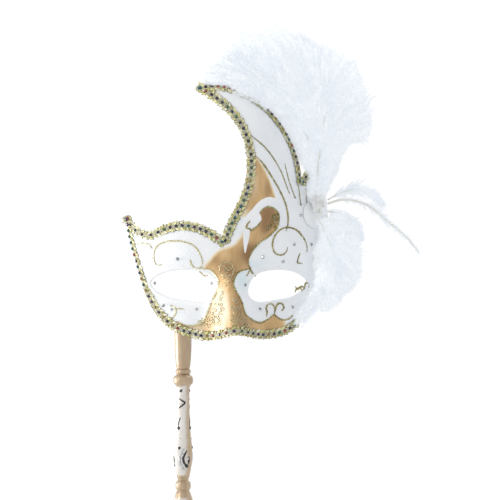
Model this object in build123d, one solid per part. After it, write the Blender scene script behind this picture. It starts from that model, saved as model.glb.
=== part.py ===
from build123d import *
import os
from math import sin, cos, radians, sqrt, exp, hypot

# Venetian half mask on a turned stick. Millimetres. The origin is the centre of the stick's flat butt,
# +Z runs up the stick, and the painted front of the mask faces -Y.

# ---- driving dimensions -------------------------------------------------------------------------
FACE_X = 35.0            # midline of the face; the stick stands at x = 0, behind the left cheek
EYE_Z = 277.5            # height of the eye line above the butt
FACE_Y = -19.0           # foremost plane of the bare face, before brow, nose and cheeks are added
WRAP_DEPTH = 80.0        # the face wraps round an ellipse of this depth ...
WRAP_HALF_WIDTH = 84.0   # ... and this half width
WRAP_LIMIT = 80.0        # the wrap stops growing here
SHELL = 2.0              # wall of the moulded shell
BRAID_WIDTH = 7.6
BRAID_HEIGHT = 1.6
SEQUIN_PITCH = 4.7
SEQUIN = (1.75, 1.5, 0.9)          # half length, half width, height
STONE = (1.3, 0.9)                 # radius, height of a glued stone
EYE_OFFSET = 35.0        # eye centre to midline
CREST_TILT = 0.0011      # how fast the crest leans back above the brow
CREST_FOOT = 320.0       # height at which crest and brow meet

NEAR, FAR = -120.0, 160.0          # cutting prisms run from NEAR to FAR along Y
GRID_X = (-62.0, 132.0, 5.0)       # extent and step of the grid behind every shell surface
GRID_Z = (222.0, 442.0, 5.0)

BUTT_RADIUS = 5.2        # flat end face of the stick
END_RADIUS = 7.0         # plain cylindrical end of the stick
END_FROM, END_TO = 2.0, 20.0
HANDLE_TOP = 263.0
GLUE_FROM, GLUE_WIDTH = 244.0, 13.0

os.makedirs("parts", exist_ok=True)


# ---- shape of the face --------------------------------------------------------------------------
def ramp(value, start, end):
    """Smooth 0 to 1 step between start and end."""
    t = min(max((value - start) / (end - start), 0.0), 1.0)
    return t * t * (3 - 2 * t)


def bump(du, dv, width, height):
    return exp(-((du / width) ** 2) - (dv / height) ** 2)


def face_y(x, z):
    """Depth of the outer face of the shell."""
    u, w = x - FACE_X, z - EYE_Z
    reach = min(abs(u), WRAP_LIMIT)
    y = FACE_Y + WRAP_DEPTH * (1 - sqrt(1 - (reach / WRAP_HALF_WIDTH) ** 2))
    below_brow = 1 - ramp(w, 30, 55)
    y -= 3.2 * bump(abs(u) - 33, w - 21, 27, 9)                      # brow ridges
    y += 6.5 * bump(abs(u) - EYE_OFFSET, w + 1, 22, 15)              # eye sockets
    y -= 3.0 * bump(abs(u) - 37, w + 27, 18, 11)                     # cheeks
    nose = 3.5 + 19.5 * ramp(w, 26, -42)                             # nose, out towards its tip
    nose *= ramp(w, 44, 20)
    slope = 15.5 + 3.5 * ramp(w, 0, -35)
    y -= nose * exp(-((sqrt(u * u + 9.0) - 3.0) / (0.62 * slope)) ** 1.7)
    y -= 1.2 * bump(u, w - 28, 14, 12) * below_brow                  # forehead between the brows
    above = max(0.0, z - CREST_FOOT)
    y += CREST_TILT * above ** 2                                     # crest leans back
    roll_from = 22 - 0.0075 * max(0.0, z - 372) ** 2                 # and rolls back along its rear edge
    past = max(0.0, u - roll_from)
    y += ramp(z, 322, 362) * 15 * (1 - exp(-((past / 24) ** 2)))
    return y


def slopes(x, z, h=0.25):
    return ((face_y(x + h, z) - face_y(x - h, z)) / (2 * h), (face_y(x, z + h) - face_y(x, z - h)) / (2 * h))


def face_normal(x, z):
    """Unit normal out of the painted front."""
    gx, gz = slopes(x, z)
    size = sqrt(1 + gx * gx + gz * gz)
    return Vector(gx / size, -1 / size, gz / size)


def on_face(x, z, proud=0.0):
    """Point on the face, lifted off it by proud along the normal."""
    return Vector(x, face_y(x, z), z) + face_normal(x, z) * proud


def steps(start, end, step):
    count = round((end - start) / step)
    return [start + (end - start) * i / count for i in range(count + 1)]


def solid_behind(proud):
    """Everything behind the face surface lifted by proud (negative goes into the shell)."""
    rows = []
    for z in steps(*GRID_Z):
        row = []
        for x in steps(*GRID_X):
            gx, gz = slopes(x, z)
            row.append((x, face_y(x, z) - proud * min(sqrt(1 + gx * gx + gz * gz), 2.6), z))
        rows.append(row)
    surface = Face.make_surface_from_array_of_points(rows, tol=0.02)
    return Solid.extrude(surface, Vector(0, FAR + 60, 0))


# ---- outlines, as (x, z) points in front view -----------------------------------------------------
def curve(*points):
    return Spline(*[(x, NEAR, z) for x, z in points])


def line(start, end):
    return Line((start[0], NEAR, start[1]), (end[0], NEAR, end[1]))


def prism(*edges):
    """Solid that stands on a closed outline and runs right through the mask along Y."""
    return Solid.extrude(Face(Wire(list(edges))), Vector(0, FAR - NEAR, 0))


LEFT_TIP = (-40.5, 330)
BROW_NOTCH = (27.5, 313.5)
CREST_TIP = (9.5, 424.5)
TEMPLE_NOTCH = (90.5, 358)
REAR_TIP = (75.5, 408.5)

BROW = [LEFT_TIP, (-35, 322), (-28, 318), (-14, 322.5), (2, 325), (16, 321), BROW_NOTCH]
CREST_FRONT = [BROW_NOTCH, (33, 327), (41, 342.5), (46, 361), (45, 382), (37, 400.5), (23, 415), CREST_TIP]
CREST_BACK = [CREST_TIP, (24, 427), (42, 423), (61, 411.5), (76, 395.5), (86, 377), TEMPLE_NOTCH]
REAR_FRONT = [TEMPLE_NOTCH, (95.5, 369), (94, 383), (87, 397), REAR_TIP]
REAR_BACK = [REAR_TIP, (90, 405), (102, 390), (110, 368), (114, 340), (112, 305), (104, 275), (86, 247)]
LOWER = [LEFT_TIP, (-39, 316), (-34.5, 297), (-26, 269), (-13, 249), (4, 239.5), (20, 237.5), (36, 241.5),
         (52, 238.5), (68, 238.8), (86, 247)]

# One eye in a face-centred frame: u from the midline outwards, w up from the eye line.
EYE = [(11.8, -5), (13.5, 2), (19, 8), (31, 11.2), (43, 10.8), (53, 7.5), (58.5, 1.5), (53, -5), (42, -9.5),
       (30, -11.2), (17, -11.2)]


def eye_outline(side):
    return [(FACE_X + side * u, EYE_Z + w) for u, w in EYE]


def eye_prism(side):
    loop = Spline(*[(x, NEAR, z) for x, z in eye_outline(side)], periodic=True)
    return prism(loop)


edges = [BROW, CREST_FRONT, CREST_BACK, REAR_FRONT, REAR_BACK, LOWER]
outline = prism(*[curve(*edge) for edge in edges])

outer = solid_behind(0.0)
inner = solid_behind(-SHELL)
raised = solid_behind(BRAID_HEIGHT)

mask_shell = (outline & outer) - inner - eye_prism(-1) - eye_prism(1)


# ---- braid ---------------------------------------------------------------------------------------
def stations(points, spacing):
    """(x, z, tangent x, tangent z) along the curve through points, evenly spaced."""
    path = curve(*points)
    count = max(2, round(path.length / spacing))
    result = []
    for i in range(count + 1):
        at, along = path @ (i / count), path % (i / count)
        size = hypot(along.X, along.Z)
        result.append((at.X, at.Z, along.X / size, along.Z / size))
    return result


def seen_width(x, z, nx, nz, width):
    """Front-view width of a strip that measures width on the sloping face."""
    gx, gz = slopes(x + nx * width / 2, z + nz * width / 2)
    return width / sqrt(1 + (gx * nx + gz * nz) ** 2)


def edge_offset(points, inward, width, spacing=8.0):
    """Points of the outline moved inwards by width, measured on the face."""
    moved = []
    for x, z, tx, tz in stations(points, spacing):
        nx, nz = -tz * inward, tx * inward
        seen = seen_width(x, z, nx, nz, width)
        moved.append((x + nx * seen, z + nz * seen))
    return moved


def braid_prism(points, inward):
    far_side = edge_offset(points, inward, BRAID_WIDTH)
    ends = [line(points[0], far_side[0]), line(points[-1], far_side[-1])]
    return prism(curve(*points), curve(*far_side), *ends)


# inward is -1 where the mask lies on the right of the travel direction, as it does along all six edges
BRAIDS = {
    "brow": (BROW, -1),
    "crest_front": (CREST_FRONT, -1),
    "crest_back": (CREST_BACK, -1),
    "rear_flame": (REAR_FRONT, -1),
    "lower": (LOWER, 1),
}

braids = {}
for name, (points, inward) in BRAIDS.items():
    strip = ((braid_prism(points, inward) & outline) & raised) - outer
    for earlier in braids.values():
        strip = strip - earlier
    braids[name] = strip


def sequin(x, z, tx, tz):
    normal = face_normal(x, z)
    along = Vector(tx, 0, tz)
    along = along - normal * along.dot(normal)
    seat = Plane(origin=on_face(x, z, BRAID_HEIGHT + 0.02), x_dir=along, z_dir=normal)
    half_length, half_width, height = SEQUIN
    return extrude(seat * Ellipse(half_length, half_width), height)


def sequin_row(points, inward):
    middle = edge_offset(points, inward, BRAID_WIDTH / 2, 6.0)
    places = stations(middle, SEQUIN_PITCH)
    return [sequin(*place) for place in places[1:-1]]


# ---- stones on the painted scrollwork -------------------------------------------------------------
def stone(x, z):
    seat = Plane(origin=on_face(x, z, 0.2), x_dir=(1, 0, 0), z_dir=face_normal(x, z))
    radius, height = STONE
    return extrude(seat * RegularPolygon(radius, 8), height, taper=35)


FACE_STONES = [(-5, 297), (-15, 262.5), (-9, 259.5), (9, 260), (-21, 279), (20, 279), (44.5, 278),
               (56, 260), (82, 261), (83, 308), (97.5, 308), (88.5, 330), (58, 298.5), (74, 295), (100, 297)]


# ---- stick ----------------------------------------------------------------------------------------
def turned(*profile):
    """Solid turned round Z from (radius, height) points; a third entry True starts a sharp step."""
    points = [(0, profile[0][1]), *profile, (0, profile[-1][1])]
    face = Face(Wire(Polyline(*[(r, 0, z) for r, z in points], close=True).edges()))
    return revolve(face, Axis.Z)


def bead(height, radius, width):
    """Half-round ring on the stick."""
    return [(radius * 0.8 + radius * 0.2 * sin(radians(a)), height - width / 2 * cos(radians(a)))
            for a in (0, 30, 60, 90, 120, 150, 180)]


RING_TOP, RING_MAIN, RING_LOW, RING_END = 213.0, 206.5, 127.8, 37.0


def stick_profile():
    """Outline of the stick from the butt up, as smooth stretches between sharp rings."""
    butt = [(BUTT_RADIUS, 0), (6.5, 0.6), (END_RADIUS, END_FROM), (END_RADIUS, END_TO)]
    foot = [(6.4, 23), (5.4, 27), (4.6, 31)]
    grip = [(4.6, 42.5), (5.0, 52), (5.9, 66), (7.0, 82), (7.8, 98), (7.9, 109), (7.2, 117), (5.4, 122.5),
            (4.5, 124.2)]
    vase = [(3.9, 131.8), (4.7, 134.5), (5.8, 140), (6.7, 147), (6.9, 151), (6.6, 157.5), (5.8, 165),
            (5.2, 172), (4.8, 181), (4.6, 192), (4.7, 201)]
    top = [(4.9, 215.5), (5.4, 218), (5.8, 222), (6.2, 230), (6.4, 240), (6.4, HANDLE_TOP - 1),
           (5.6, HANDLE_TOP)]
    return [*butt, *foot, *bead(RING_END, 6.4, 8), *grip, *bead(RING_LOW, 5.8, 6.4), *vase,
            *bead(RING_MAIN, 7.5, 6.6), *bead(RING_TOP, 5.7, 3.8), *top]


handle = turned(*stick_profile())

glue_block = Pos(0, -6, (GLUE_FROM + HANDLE_TOP) / 2) * Box(GLUE_WIDTH, 16, HANDLE_TOP - GLUE_FROM)
handle_glue = (glue_block & inner) - handle


def handle_stone(angle, height, radius):
    """Small crystal set on the round stick."""
    out = Vector(sin(radians(angle)), -cos(radians(angle)), 0)
    seat = Plane(origin=Vector(0, 0, height) + out * radius, x_dir=(0, 0, 1), z_dir=out)
    return extrude(seat * RegularPolygon(STONE[0], 8), STONE[1], taper=35)


VASE_STONE_Z, VASE_STONE_R = 148.5, 6.7
GRIP_STONE_Z, GRIP_STONE_R = 103.0, 7.85
HANDLE_STONES = [(angle, VASE_STONE_Z, VASE_STONE_R) for angle in (28, 148, 268)]
HANDLE_STONES += [(angle, GRIP_STONE_Z, GRIP_STONE_R) for angle in (-32, 88, 208)]


# ---- feathers -------------------------------------------------------------------------------------
QUILL = 1.1              # radius of the bare quill
ROOT = (103.0, 8.0)      # x and y of the bundle of plume quills on the right temple
ROOT_FROM, BIND_FROM, BIND_TO = 332.0, 336.0, 345.0
QUILL_PITCH = 1.6        # the four plume quills stand on the corners of a square, this far from its centre
BIND_INNER, BIND_OUTER = 3.5, 4.8
PATCH_RADIUS, PATCH = 11.0, 1.2


def feather(route, widths, thickness):
    """One feather as a single closed solid: bare quill at the start, flat vane after it.

    route: points of the shaft; widths: half width of the vane, evenly spaced along the shaft.
    """
    shaft = Spline(*route)
    sections = []
    last = len(widths) - 1
    for i, half_width in enumerate(widths):
        at, along = shaft @ (i / last), shaft % (i / last)
        across = along.cross(Vector(0, -1, 0))
        flat = max(QUILL, thickness * min(1.0, half_width / (2 * thickness)))
        seat = Plane(origin=at, x_dir=across, z_dir=along)
        sections.append(seat * Ellipse(max(half_width, QUILL + 0.05), flat))
    return Solid.make_loft([section.face().outer_wire() for section in sections])


def plume(corner_x, corner_y, route, widths, thickness):
    """Plume whose quill stands on one corner of the bundle; its route goes on above the binding."""
    x, y = ROOT[0] + corner_x * QUILL_PITCH, ROOT[1] + corner_y * QUILL_PITCH
    quill = Pos(x, y, (ROOT_FROM + BIND_TO + 1) / 2) * Cylinder(QUILL, BIND_TO + 1 - ROOT_FROM)
    return quill + feather([(x, y, BIND_TO), *route], widths, thickness)


# name: route of the shaft, half widths along it, half thickness
PLUMES = {
    "plume_left": plume(-1, 1, [(100, 10, 366), (97, 10, 382), (81, 8.5, 412), (58, 13, 437), (40, 17, 443),
                                (24, 18, 436)], [1, 4, 12, 22, 24, 9], 2.6),
    "plume_upright": plume(-1, -1, [(102, 3, 366), (106, 1, 395), (106, 0, 425), (99, 3, 452), (87, 6, 467)],
                           [1, 5, 16, 20, 17, 5], 4.0),
    "plume_right": plume(1, -1, [(107, 8, 356), (114, 15, 372), (123, 27, 397), (130, 31, 418),
                                 (133, 31, 434), (131, 30, 445)], [1, 4, 12, 19, 16, 6], 5.0),
    "plume_back": plume(1, 1, [(109, 15, 354), (117, 30, 365), (122, 51, 390), (118, 56, 418),
                               (110, 55, 442), (102, 52, 457)], [1, 3, 10, 20, 16, 5], 5.0),
}
SHORTS = {
    "short_feather_front": ([(101, 2, 329), (106, -3, 319), (111, -6, 306), (115, -6, 295), (117, -5, 287)],
                            [1, 9, 13, 12, 5], 3.0),
    "short_feather_upper": ([(109, 4, 333), (117, 5, 332), (126, 8, 328), (133, 11, 320), (136, 12, 312)],
                            [1, 6, 8, 8, 4], 2.5),
    "short_feather_outer": ([(110, 17, 330), (121, 25, 319), (130, 27, 307), (135, 28, 294), (136, 28, 284)],
                            [1, 8, 12, 12, 5], 3.0),
    "short_feather_lower": ([(108, 12, 326), (116, 14, 308), (121, 16, 290), (121, 16, 276), (119, 14, 266)],
                            [1, 9, 12, 12, 5], 3.0),
    "short_feather_cheek": ([(105, 5, 322), (109, 4, 300), (106, 0, 280), (99, -6, 263), (90, -11, 252)],
                            [1, 7, 9, 9, 4], 2.5),
}
THIN = {
    "stripped_feather": ([(110, 6, 339), (122, 11, 342), (140, 13, 338.5), (156, 11, 326), (171, 8, 313),
                          (179, 6, 303)], [0.8, 1.2, 1.4, 1.4, 1.2, 1.0], 1.0),
    "blade_feather": ([(111, 12, 342), (121, 19, 347), (134, 21, 350), (146, 21, 346), (152, 20, 341)],
                      [0.8, 2.4, 4.2, 4.2, 2.0], 1.2),
}

binding_sleeve = Cylinder(BIND_OUTER, BIND_TO - BIND_FROM) - Cylinder(BIND_INNER, BIND_TO - BIND_FROM)
feather_binding = Pos(*ROOT, (BIND_FROM + BIND_TO) / 2) * binding_sleeve
patch_prism = Pos(ROOT[0] - 1, 15, ROOT_FROM - 1) * Rot(90, 0, 0) * Cylinder(PATCH_RADIUS, 90)
feather_backing = (patch_prism & solid_behind(PATCH)) - outer - braids["lower"]
feather_backing = feather_backing & outline


# ---- write ----------------------------------------------------------------------------------------
def write(name, shape):
    solids = shape if isinstance(shape, list) else shape.solids()
    export_step(Compound(children=[Solid(s.wrapped) for s in solids]), f"parts/{name}.step")


write("mask_shell", mask_shell)
write("handle", handle)
for name, strip in braids.items():
    write(f"braid_{name}", strip)
for name, (points, inward) in BRAIDS.items():
    write(f"sequins_{name}", sequin_row(points, inward))
write("rhinestones_face", [stone(*place) for place in FACE_STONES])
write("handle_glue", handle_glue)
write("handle_stones", [handle_stone(*place) for place in HANDLE_STONES])
write("feather_binding", feather_binding)
write("feather_backing", feather_backing)
for name, shape in PLUMES.items():
    write(name, shape)
for name, (route, widths, thickness) in {**SHORTS, **THIN}.items():
    write(name, feather(route, widths, thickness))
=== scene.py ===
from math import cos, pi, radians, sin, tau

import bmesh
import bpy
import numpy as np
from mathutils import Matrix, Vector
from mathutils.bvhtree import BVHTree
from mathutils.geometry import delaunay_2d_cdt


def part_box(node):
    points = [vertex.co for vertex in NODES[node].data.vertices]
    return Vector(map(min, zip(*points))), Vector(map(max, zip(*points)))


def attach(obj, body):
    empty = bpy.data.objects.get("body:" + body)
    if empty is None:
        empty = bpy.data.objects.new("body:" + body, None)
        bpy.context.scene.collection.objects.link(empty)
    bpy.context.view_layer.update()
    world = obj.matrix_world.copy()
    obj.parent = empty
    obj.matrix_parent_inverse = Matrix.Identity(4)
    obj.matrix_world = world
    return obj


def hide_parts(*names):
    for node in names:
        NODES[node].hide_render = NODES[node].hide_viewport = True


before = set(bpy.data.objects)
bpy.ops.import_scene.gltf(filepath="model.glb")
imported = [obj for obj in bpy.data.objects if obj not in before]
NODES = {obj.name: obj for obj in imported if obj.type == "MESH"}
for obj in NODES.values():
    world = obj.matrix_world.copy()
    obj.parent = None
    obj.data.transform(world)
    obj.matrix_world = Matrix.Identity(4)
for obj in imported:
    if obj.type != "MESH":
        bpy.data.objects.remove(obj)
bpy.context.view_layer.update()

# Shapes are worked out in millimetres and written in metres. x and z are the front view, and y is depth.
MM = 0.001
rng = np.random.default_rng(20)

SHELL = 2.0               # wall of the moulded shell
WELD = 0.003              # vertices nearer than this are one
MESH_STEP = 0.9           # spacing of the shell's vertices
RIM_INSET = 0.45          # how far the rounded rim reaches into the front
BRAID_WIDTH = 7.6
BEAD_PITCH = 4.7          # one bead and one pair of leaves
LIP_HEIGHT, LIP_WIDTH = 0.75, 1.0
FACING = -0.25            # the painted front is where a normal's y is below this
STEEPEST = 2.6            # most that the slope of the face lengthens a distance along y


# ---- meshes ---------------------------------------------------------------------------------------
class Soup:
    """Vertices and faces gathered from many small shapes, with one tint value for each vertex."""

    def __init__(self):
        self.points, self.faces, self.tints, self.count = [], [], [], 0

    def add(self, points, faces, tint=0.0):
        points = np.asarray(points, float).reshape(-1, 3)
        self.points.append(points)
        self.faces.append(np.asarray(faces, int) + self.count)
        self.tints.append(np.broadcast_to(np.asarray(tint, float), len(points)))
        self.count += len(points)

    def piece(self, name, material, slot, replaces=(), smooth=True, extra=None):
        """The gathered shapes as one visible piece; extra holds more values for each vertex, by name."""
        mesh = bpy.data.meshes.new(name)
        points = np.concatenate(self.points) * MM
        mesh.vertices.add(len(points))
        mesh.vertices.foreach_set("co", points.ravel())
        corners = np.concatenate([f.ravel() for f in self.faces])
        sizes = np.concatenate([np.full(len(f), f.shape[1]) for f in self.faces])
        mesh.loops.add(len(corners))
        mesh.loops.foreach_set("vertex_index", corners.astype(np.int32))
        mesh.polygons.add(len(sizes))
        mesh.polygons.foreach_set("loop_start", (np.cumsum(sizes) - sizes).astype(np.int32))
        mesh.update(calc_edges=True)
        mesh.polygons.foreach_set("use_smooth", np.full(len(sizes), smooth))
        values = {"tint": np.concatenate(self.tints), **(extra or {})}
        for key, data in values.items():
            attribute = mesh.attributes.new(key, "FLOAT", "POINT")
            attribute.data.foreach_set("value", np.asarray(data, np.float32))
        mesh.validate()
        obj = bpy.data.objects.new(name, mesh)
        bpy.context.scene.collection.objects.link(obj)
        mesh.materials.append(material)
        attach(obj, "root")
        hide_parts(*replaces)


def unit(vectors):
    vectors = np.asarray(vectors, float)
    return vectors / np.maximum(np.linalg.norm(vectors, axis=-1, keepdims=True), 1e-9)


def grid_faces(rows, columns, close_rows=False, close_columns=False):
    """Quads of a grid of rows x columns vertices."""
    r = np.arange(rows if close_rows else rows - 1)
    c = np.arange(columns if close_columns else columns - 1)
    r, c = np.meshgrid(r, c, indexing="ij")
    r2, c2 = (r + 1) % rows, (c + 1) % columns
    corners = [r * columns + c, r * columns + c2, r2 * columns + c2, r2 * columns + c]
    return np.stack(corners, -1).reshape(-1, 4)


def gaps(points):
    """Distances from each point to the next."""
    return np.linalg.norm(np.diff(points, axis=0), axis=1)


def resample(points, spacing, closed=False):
    """Evenly spaced points on the smooth curve through points."""
    points = np.asarray(points, float)
    if closed:
        points = np.concatenate([points[-2:], points, points[:3]])
    points = points[np.concatenate([[True], gaps(points) > 1e-6])]
    at = np.concatenate([[0], np.cumsum(gaps(points))])
    slope = np.gradient(points, at, axis=0)
    start, end = (at[2], at[-3]) if closed else (at[0], at[-1])
    count = max(2, int(round((end - start) / spacing)))
    want = np.linspace(start, end, count + 1)
    if closed:
        want = want[:-1]
    i = np.clip(np.searchsorted(at, want, side="right") - 1, 0, len(at) - 2)
    h = (at[i + 1] - at[i])[:, None]
    t = (want - at[i])[:, None] / h
    t2, t3 = t * t, t * t * t
    return (
        (2 * t3 - 3 * t2 + 1) * points[i] + (t3 - 2 * t2 + t) * h * slope[i]
        + (3 * t2 - 2 * t3) * points[i + 1] + (t3 - t2) * h * slope[i + 1]
    )


def tube(soup, path, radius, sides=6, tint=0.0, squash=1.0, up=None, closed=False):
    """Round tube along path; radius is one value or one for each point. squash flattens it along up."""
    path = np.asarray(path, float)
    if closed:
        along = unit(np.roll(path, -1, 0) - np.roll(path, 1, 0))
    else:
        along = unit(np.gradient(path, axis=0))
    if up is None:
        up = np.broadcast_to([0.0, -1.0, 0.0], path.shape)
    side = unit(np.cross(along, up))
    lift = np.cross(side, along)
    radius = np.broadcast_to(np.asarray(radius, float), len(path))[:, None, None]
    angle = np.arange(sides) * tau / sides
    ring = np.cos(angle)[:, None] * side[:, None] + squash * np.sin(angle)[:, None] * lift[:, None]
    points = path[:, None] + radius * ring
    faces = grid_faces(len(path), sides, close_rows=closed, close_columns=True)
    soup.add(points, faces, np.repeat(np.broadcast_to(tint, len(path)), sides))
    if not closed:
        last = soup.count - sides
        first = soup.count - len(path) * sides
        soup.faces.append(np.arange(first, first + sides)[None, :])
        soup.faces.append(np.arange(last, last + sides)[None, ::-1])


# ---- the face surface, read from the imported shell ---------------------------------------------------
def node_mesh(name):
    """Welded vertices in millimetres, triangles and their normals."""
    work = bmesh.new()
    work.from_mesh(NODES[name].data)
    bmesh.ops.remove_doubles(work, verts=work.verts, dist=WELD * MM)
    bmesh.ops.triangulate(work, faces=work.faces)
    co = np.array([v.co for v in work.verts]) / MM
    tri = np.array([[v.index for v in f.verts] for f in work.faces])
    work.free()
    normal = unit(np.cross(co[tri[:, 1]] - co[tri[:, 0]], co[tri[:, 2]] - co[tri[:, 0]]))
    return co, tri, normal


class Relief:
    """Depth of the painted front over x and z, carried on smoothly past its edges and over the eyes."""

    STEP, MARGIN = 1.0, 9.0

    def __init__(self, co, tri):
        tree = BVHTree.FromPolygons([tuple(c) for c in co], [tuple(t) for t in tri])
        low, high = co.min(0) - self.MARGIN, co.max(0) + self.MARGIN
        self.x0, self.z0 = low[0], low[2]
        xs, zs = np.arange(low[0], high[0], self.STEP), np.arange(low[2], high[2], self.STEP)
        depth = np.full((len(zs), len(xs)), np.nan)
        for j, z in enumerate(zs):
            for i, x in enumerate(xs):
                hit, normal, _, _ = tree.ray_cast(Vector((x, low[1] - 20, z)), Vector((0, 1, 0)))
                if hit is not None and normal.y < FACING:
                    depth[j, i] = hit.y
        self.depth = self.smoothed(self.filled(depth))

    @staticmethod
    def filled(depth):
        """Every empty cell takes the straight continuation of its known neighbours, one ring at a time."""
        depth = depth.copy()
        while np.isnan(depth).any():
            total, weight = np.zeros_like(depth), np.zeros_like(depth)
            for dj, di in ((0, 1), (0, -1), (1, 0), (-1, 0), (1, 1), (1, -1), (-1, 1), (-1, -1)):
                near = np.roll(depth, (dj, di), (0, 1))
                far = np.roll(depth, (4 * dj, 4 * di), (0, 1))
                slope = np.clip(np.nan_to_num(near - far) / 3, -0.9, 0.9)
                known = ~np.isnan(near)
                total += np.where(known, np.nan_to_num(near) + 0.8 * slope, 0)
                weight += known
            empty = np.isnan(depth) & (weight > 0)
            depth[empty] = total[empty] / weight[empty]
        return depth

    @staticmethod
    def smoothed(depth):
        for _ in range(3):
            for axis in (0, 1):
                padded = np.pad(depth, [(1, 1) if a == axis else (0, 0) for a in (0, 1)], mode="edge")
                low, high = (padded[:-2], padded[2:]) if axis == 0 else (padded[:, :-2], padded[:, 2:])
                depth = depth / 2 + (low + high) / 4
        return depth

    def y(self, x, z):
        """Cubic interpolation of the depth."""
        x, z = np.asarray(x, float), np.asarray(z, float)
        u = np.clip((x - self.x0) / self.STEP, 1, self.depth.shape[1] - 3.001)
        v = np.clip((z - self.z0) / self.STEP, 1, self.depth.shape[0] - 3.001)
        i, j = u.astype(int), v.astype(int)

        def weights(t):
            return (
                ((-t + 2) * t - 1) * t / 2, ((3 * t - 5) * t * t + 2) / 2,
                ((-3 * t + 4) * t + 1) * t / 2, (t - 1) * t * t / 2,
            )

        across, up = weights(u - i), weights(v - j)
        return sum(up[b] * across[a] * self.depth[j + b - 1, i + a - 1] for a in range(4) for b in range(4))

    def slopes(self, x, z, h=0.4):
        return (
            (self.y(x + h, z) - self.y(x - h, z)) / (2 * h),
            (self.y(x, z + h) - self.y(x, z - h)) / (2 * h),
        )

    def steepness(self, x, z):
        """How much longer a wall is along y than square to the face."""
        gx, gz = self.slopes(x, z)
        return np.minimum(np.sqrt(1 + gx ** 2 + gz ** 2), STEEPEST)

    def normal(self, x, z):
        gx, gz = self.slopes(x, z)
        return unit(np.stack([gx, -np.ones_like(gx), gz], -1))

    def on(self, x, z, proud=0.0):
        """Points on the face, lifted off it by proud."""
        x, z = np.asarray(x, float), np.asarray(z, float)
        at = np.stack([x, self.y(x, z), z], -1)
        return at + self.normal(x, z) * np.broadcast_to(proud, x.shape)[..., None]


def outline_loops(co, tri, normal):
    """Closed front-view loops where the painted front meets the cut walls, the outer one first."""
    sides = {}
    for index, corners in enumerate(tri):
        for a, b in ((0, 1), (1, 2), (2, 0)):
            p, q = int(corners[a]), int(corners[b])
            sides.setdefault((min(p, q), max(p, q)), []).append(index)
    steps = {}
    for (p, q), faces in sides.items():
        if len(faces) != 2:
            continue
        ny = sorted(normal[f][1] for f in faces)
        if ny[0] < FACING and abs(ny[1]) < 0.2:
            steps.setdefault(p, []).append(q)
            steps.setdefault(q, []).append(p)
    loops, seen = [], set()
    for start in steps:
        if start in seen:
            continue
        loop, at = [], start
        while at is not None:
            seen.add(at)
            loop.append(at)
            at = next((n for n in steps[at] if n not in seen), None)
        if len(loop) > 20:
            loops.append(co[loop][:, [0, 2]])
    return sorted(loops, key=lambda l: -np.ptp(l[:, 1]))


shell_co, shell_tri, shell_normal = node_mesh("mask_shell")
face = Relief(shell_co, shell_tri)
LOOPS = outline_loops(shell_co, shell_tri, shell_normal)
OUTER, EYES = LOOPS[0], LOOPS[1:3]

# Tips and notches of the outline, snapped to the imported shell.
CORNERS = {"left_tip": (-40.5, 330), "brow_notch": (27.5, 313.5), "crest_tip": (9.5, 424.5),
           "temple_notch": (90.5, 358), "rear_tip": (75.5, 408.5), "cheek": (86, 247)}
corner_index = {k: int(np.argmin(np.hypot(*(OUTER - np.array(p)).T))) for k, p in CORNERS.items()}


def stretch(start, end):
    """Part of the outer loop from one corner to the next, the shorter way round."""
    a, b, n = corner_index[start], corner_index[end], len(OUTER)
    forward = [(a + k) % n for k in range((b - a) % n + 1)]
    backward = [(a - k) % n for k in range((a - b) % n + 1)]
    others = set(corner_index.values()) - {a, b}
    return OUTER[forward] if not others & set(forward) else OUTER[backward]


# ---- distance to outlines ---------------------------------------------------------------------------
def inside(points, polygon):
    x, y = points[:, 0][:, None], points[:, 1][:, None]
    (x1, y1), (x2, y2) = polygon.T, np.roll(polygon, -1, 0).T
    crosses = (y1 > y) != (y2 > y)
    span = np.where(np.abs(y2 - y1) < 1e-9, 1e-9, y2 - y1)
    return (np.sum(crosses & (x < (x2 - x1) * (y - y1) / span + x1), axis=1) % 2).astype(bool)


def distance(points, line, closed=True):
    """Distance from each point to a polyline."""
    ends = np.roll(line, -1, 0) if closed else line[1:]
    starts = line if closed else line[:-1]
    run = ends - starts
    length2 = np.maximum((run ** 2).sum(1), 1e-9)
    best = np.full(len(points), 1e9)
    for chunk in range(0, len(points), 4000):
        p = points[chunk:chunk + 4000, None]
        t = np.clip(((p - starts) * run).sum(-1) / length2, 0, 1)
        best[chunk:chunk + 4000] = np.sqrt((((starts + t[..., None] * run) - p) ** 2).sum(-1).min(1))
    return best


def signed(points, polygon):
    """Distance to a polygon, positive inside it."""
    polygon = np.asarray(polygon, float)
    away = distance(points, polygon)
    within = np.concatenate([inside(points[k:k + 4000], polygon) for k in range(0, len(points), 4000)])
    return np.where(within, away, -away)


def rise(value, low, high):
    t = np.clip((value - low) / (high - low), 0, 1)
    return t * t * (3 - 2 * t)


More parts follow.
